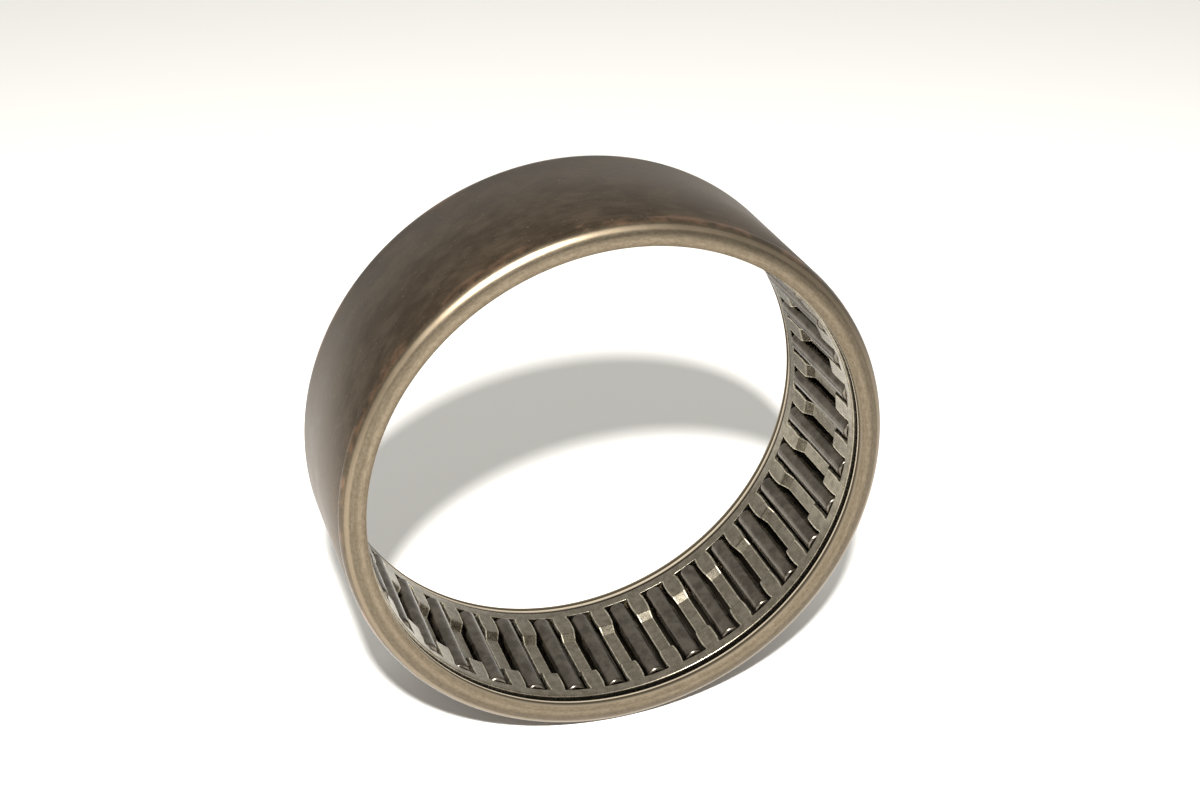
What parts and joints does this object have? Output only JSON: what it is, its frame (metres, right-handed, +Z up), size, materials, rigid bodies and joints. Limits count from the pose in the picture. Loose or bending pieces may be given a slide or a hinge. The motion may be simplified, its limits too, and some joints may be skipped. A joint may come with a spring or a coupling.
{
  "type": "needle roller bearing",
  "caption": "Caged needle roller bearing with a thin drawn steel cup, open at both ends, its turned-in lips holding a pressed cage and long thin rollers.",
  "frame": {"origin": "centre of the bearing, on its axis and midway between its two lip faces", "axes": "+Y along the bearing's axis; +Z up when the bearing stands on its rim; +X to the right, looking along +Y"},
  "size_m": [0.058, 0.02, 0.058],
  "materials": {
    "cup_steel": "case-hardened drawn steel, dark brown heat tint, fine marks round it",
    "cage_steel": "satin pressed steel, grey",
    "roller_steel": "ground steel, dark, smooth, oiled"
  },
  "bodies": {
    "outer_cup": {"outer_cup": "cup_steel"},
    "cage": {"cage": "cage_steel"},
    "roller_01": {"roller_01": "roller_steel"},
    "roller_02": {"roller_02": "roller_steel"},
    "roller_03": {"roller_03": "roller_steel"},
    "roller_04": {"roller_04": "roller_steel"},
    "roller_05": {"roller_05": "roller_steel"},
    "roller_06": {"roller_06": "roller_steel"},
    "roller_07": {"roller_07": "roller_steel"},
    "roller_08": {"roller_08": "roller_steel"},
    "roller_09": {"roller_09": "roller_steel"},
    "roller_10": {"roller_10": "roller_steel"},
    "roller_11": {"roller_11": "roller_steel"},
    "roller_12": {"roller_12": "roller_steel"},
    "roller_13": {"roller_13": "roller_steel"},
    "roller_14": {"roller_14": "roller_steel"},
    "roller_15": {"roller_15": "roller_steel"},
    "roller_16": {"roller_16": "roller_steel"},
    "roller_17": {"roller_17": "roller_steel"},
    "roller_18": {"roller_18": "roller_steel"},
    "roller_19": {"roller_19": "roller_steel"},
    "roller_20": {"roller_20": "roller_steel"},
    "roller_21": {"roller_21": "roller_steel"},
    "roller_22": {"roller_22": "roller_steel"},
    "roller_23": {"roller_23": "roller_steel"},
    "roller_24": {"roller_24": "roller_steel"},
    "roller_25": {"roller_25": "roller_steel"},
    "roller_26": {"roller_26": "roller_steel"},
    "roller_27": {"roller_27": "roller_steel"},
    "roller_28": {"roller_28": "roller_steel"},
    "roller_29": {"roller_29": "roller_steel"},
    "roller_30": {"roller_30": "roller_steel"},
    "roller_31": {"roller_31": "roller_steel"},
    "roller_32": {"roller_32": "roller_steel"},
    "roller_33": {"roller_33": "roller_steel"},
    "roller_34": {"roller_34": "roller_steel"},
    "roller_35": {"roller_35": "roller_steel"},
    "roller_36": {"roller_36": "roller_steel"}
  },
  "joints": [
    {"name": "cage_spin", "type": "hinge", "parent": "outer_cup", "child": "cage", "pos_m": [0, 0, 0], "axis": [0, 1, 0], "continuous": true},
    {"name": "roller_01_spin", "type": "hinge", "parent": "cage", "child": "roller_01", "pos_m": [0.02694, 0, 0.00047], "axis": [0, 1, 0], "continuous": true},
    {"name": "roller_02_spin", "type": "hinge", "parent": "cage", "child": "roller_02", "pos_m": [0.02645, 0, 0.00514], "axis": [0, 1, 0], "continuous": true},
    {"name": "roller_03_spin", "type": "hinge", "parent": "cage", "child": "roller_03", "pos_m": [0.02516, 0, 0.00966], "axis": [0, 1, 0], "continuous": true},
    {"name": "roller_04_spin", "type": "hinge", "parent": "cage", "child": "roller_04", "pos_m": [0.0231, 0, 0.01388], "axis": [0, 1, 0], "continuous": true},
    {"name": "roller_05_spin", "type": "hinge", "parent": "cage", "child": "roller_05", "pos_m": [0.02034, 0, 0.01768], "axis": [0, 1, 0], "continuous": true},
    {"name": "roller_06_spin", "type": "hinge", "parent": "cage", "child": "roller_06", "pos_m": [0.01696, 0, 0.02094], "axis": [0, 1, 0], "continuous": true},
    {"name": "roller_07_spin", "type": "hinge", "parent": "cage", "child": "roller_07", "pos_m": [0.01306, 0, 0.02357], "axis": [0, 1, 0], "continuous": true},
    {"name": "roller_08_spin", "type": "hinge", "parent": "cage", "child": "roller_08", "pos_m": [0.00877, 0, 0.02548], "axis": [0, 1, 0], "continuous": true},
    {"name": "roller_09_spin", "type": "hinge", "parent": "cage", "child": "roller_09", "pos_m": [0.00422, 0, 0.02661], "axis": [0, 1, 0], "continuous": true},
    {"name": "roller_10_spin", "type": "hinge", "parent": "cage", "child": "roller_10", "pos_m": [-0.00047, 0, 0.02694], "axis": [0, 1, 0], "continuous": true},
    {"name": "roller_11_spin", "type": "hinge", "parent": "cage", "child": "roller_11", "pos_m": [-0.00514, 0, 0.02645], "axis": [0, 1, 0], "continuous": true},
    {"name": "roller_12_spin", "type": "hinge", "parent": "cage", "child": "roller_12", "pos_m": [-0.00966, 0, 0.02516], "axis": [0, 1, 0], "continuous": true},
    {"name": "roller_13_spin", "type": "hinge", "parent": "cage", "child": "roller_13", "pos_m": [-0.01388, 0, 0.0231], "axis": [0, 1, 0], "continuous": true},
    {"name": "roller_14_spin", "type": "hinge", "parent": "cage", "child": "roller_14", "pos_m": [-0.01768, 0, 0.02034], "axis": [0, 1, 0], "continuous": true},
    {"name": "roller_15_spin", "type": "hinge", "parent": "cage", "child": "roller_15", "pos_m": [-0.02094, 0, 0.01696], "axis": [0, 1, 0], "continuous": true},
    {"name": "roller_16_spin", "type": "hinge", "parent": "cage", "child": "roller_16", "pos_m": [-0.02357, 0, 0.01306], "axis": [0, 1, 0], "continuous": true},
    {"name": "roller_17_spin", "type": "hinge", "parent": "cage", "child": "roller_17", "pos_m": [-0.02548, 0, 0.00877], "axis": [0, 1, 0], "continuous": true},
    {"name": "roller_18_spin", "type": "hinge", "parent": "cage", "child": "roller_18", "pos_m": [-0.02661, 0, 0.00422], "axis": [0, 1, 0], "continuous": true},
    {"name": "roller_19_spin", "type": "hinge", "parent": "cage", "child": "roller_19", "pos_m": [-0.02694, 0, -0.00047], "axis": [0, 1, 0], "continuous": true},
    {"name": "roller_20_spin", "type": "hinge", "parent": "cage", "child": "roller_20", "pos_m": [-0.02645, 0, -0.00514], "axis": [0, 1, 0], "continuous": true},
    {"name": "roller_21_spin", "type": "hinge", "parent": "cage", "child": "roller_21", "pos_m": [-0.02516, 0, -0.00966], "axis": [0, 1, 0], "continuous": true},
    {"name": "roller_22_spin", "type": "hinge", "parent": "cage", "child": "roller_22", "pos_m": [-0.0231, 0, -0.01388], "axis": [0, 1, 0], "continuous": true},
    {"name": "roller_23_spin", "type": "hinge", "parent": "cage", "child": "roller_23", "pos_m": [-0.02034, 0, -0.01768], "axis": [0, 1, 0], "continuous": true},
    {"name": "roller_24_spin", "type": "hinge", "parent": "cage", "child": "roller_24", "pos_m": [-0.01696, 0, -0.02094], "axis": [0, 1, 0], "continuous": true},
    {"name": "roller_25_spin", "type": "hinge", "parent": "cage", "child": "roller_25", "pos_m": [-0.01306, 0, -0.02357], "axis": [0, 1, 0], "continuous": true},
    {"name": "roller_26_spin", "type": "hinge", "parent": "cage", "child": "roller_26", "pos_m": [-0.00877, 0, -0.02548], "axis": [0, 1, 0], "continuous": true},
    {"name": "roller_27_spin", "type": "hinge", "parent": "cage", "child": "roller_27", "pos_m": [-0.00422, 0, -0.02661], "axis": [0, 1, 0], "continuous": true},
    {"name": "roller_28_spin", "type": "hinge", "parent": "cage", "child": "roller_28", "pos_m": [0.00047, 0, -0.02694], "axis": [0, 1, 0], "continuous": true},
    {"name": "roller_29_spin", "type": "hinge", "parent": "cage", "child": "roller_29", "pos_m": [0.00514, 0, -0.02645], "axis": [0, 1, 0], "continuous": true},
    {"name": "roller_30_spin", "type": "hinge", "parent": "cage", "child": "roller_30", "pos_m": [0.00966, 0, -0.02516], "axis": [0, 1, 0], "continuous": true},
    {"name": "roller_31_spin", "type": "hinge", "parent": "cage", "child": "roller_31", "pos_m": [0.01388, 0, -0.0231], "axis": [0, 1, 0], "continuous": true},
    {"name": "roller_32_spin", "type": "hinge", "parent": "cage", "child": "roller_32", "pos_m": [0.01768, 0, -0.02034], "axis": [0, 1, 0], "continuous": true},
    {"name": "roller_33_spin", "type": "hinge", "parent": "cage", "child": "roller_33", "pos_m": [0.02094, 0, -0.01696], "axis": [0, 1, 0], "continuous": true},
    {"name": "roller_34_spin", "type": "hinge", "parent": "cage", "child": "roller_34", "pos_m": [0.02357, 0, -0.01306], "axis": [0, 1, 0], "continuous": true},
    {"name": "roller_35_spin", "type": "hinge", "parent": "cage", "child": "roller_35", "pos_m": [0.02548, 0, -0.00877], "axis": [0, 1, 0], "continuous": true},
    {"name": "roller_36_spin", "type": "hinge", "parent": "cage", "child": "roller_36", "pos_m": [0.02661, 0, -0.00422], "axis": [0, 1, 0], "continuous": true}
  ],
  "couplings": [
    {"joint": "roller_01_spin", "follows": "cage_spin", "ratio": -24.951},
    {"joint": "roller_02_spin", "follows": "cage_spin", "ratio": -24.951},
    {"joint": "roller_03_spin", "follows": "cage_spin", "ratio": -24.951},
    {"joint": "roller_04_spin", "follows": "cage_spin", "ratio": -24.951},
    {"joint": "roller_05_spin", "follows": "cage_spin", "ratio": -24.951},
    {"joint": "roller_06_spin", "follows": "cage_spin", "ratio": -24.951},
    {"joint": "roller_07_spin", "follows": "cage_spin", "ratio": -24.951},
    {"joint": "roller_08_spin", "follows": "cage_spin", "ratio": -24.951},
    {"joint": "roller_09_spin", "follows": "cage_spin", "ratio": -24.951},
    {"joint": "roller_10_spin", "follows": "cage_spin", "ratio": -24.951},
    {"joint": "roller_11_spin", "follows": "cage_spin", "ratio": -24.951},
    {"joint": "roller_12_spin", "follows": "cage_spin", "ratio": -24.951},
    {"joint": "roller_13_spin", "follows": "cage_spin", "ratio": -24.951},
    {"joint": "roller_14_spin", "follows": "cage_spin", "ratio": -24.951},
    {"joint": "roller_15_spin", "follows": "cage_spin", "ratio": -24.951},
    {"joint": "roller_16_spin", "follows": "cage_spin", "ratio": -24.951},
    {"joint": "roller_17_spin", "follows": "cage_spin", "ratio": -24.951},
    {"joint": "roller_18_spin", "follows": "cage_spin", "ratio": -24.951},
    {"joint": "roller_19_spin", "follows": "cage_spin", "ratio": -24.951},
    {"joint": "roller_20_spin", "follows": "cage_spin", "ratio": -24.951},
    {"joint": "roller_21_spin", "follows": "cage_spin", "ratio": -24.951},
    {"joint": "roller_22_spin", "follows": "cage_spin", "ratio": -24.951},
    {"joint": "roller_23_spin", "follows": "cage_spin", "ratio": -24.951},
    {"joint": "roller_24_spin", "follows": "cage_spin", "ratio": -24.951},
    {"joint": "roller_25_spin", "follows": "cage_spin", "ratio": -24.951},
    {"joint": "roller_26_spin", "follows": "cage_spin", "ratio": -24.951},
    {"joint": "roller_27_spin", "follows": "cage_spin", "ratio": -24.951},
    {"joint": "roller_28_spin", "follows": "cage_spin", "ratio": -24.951},
    {"joint": "roller_29_spin", "follows": "cage_spin", "ratio": -24.951},
    {"joint": "roller_30_spin", "follows": "cage_spin", "ratio": -24.951},
    {"joint": "roller_31_spin", "follows": "cage_spin", "ratio": -24.951},
    {"joint": "roller_32_spin", "follows": "cage_spin", "ratio": -24.951},
    {"joint": "roller_33_spin", "follows": "cage_spin", "ratio": -24.951},
    {"joint": "roller_34_spin", "follows": "cage_spin", "ratio": -24.951},
    {"joint": "roller_35_spin", "follows": "cage_spin", "ratio": -24.951},
    {"joint": "roller_36_spin", "follows": "cage_spin", "ratio": -24.951}
  ]
}
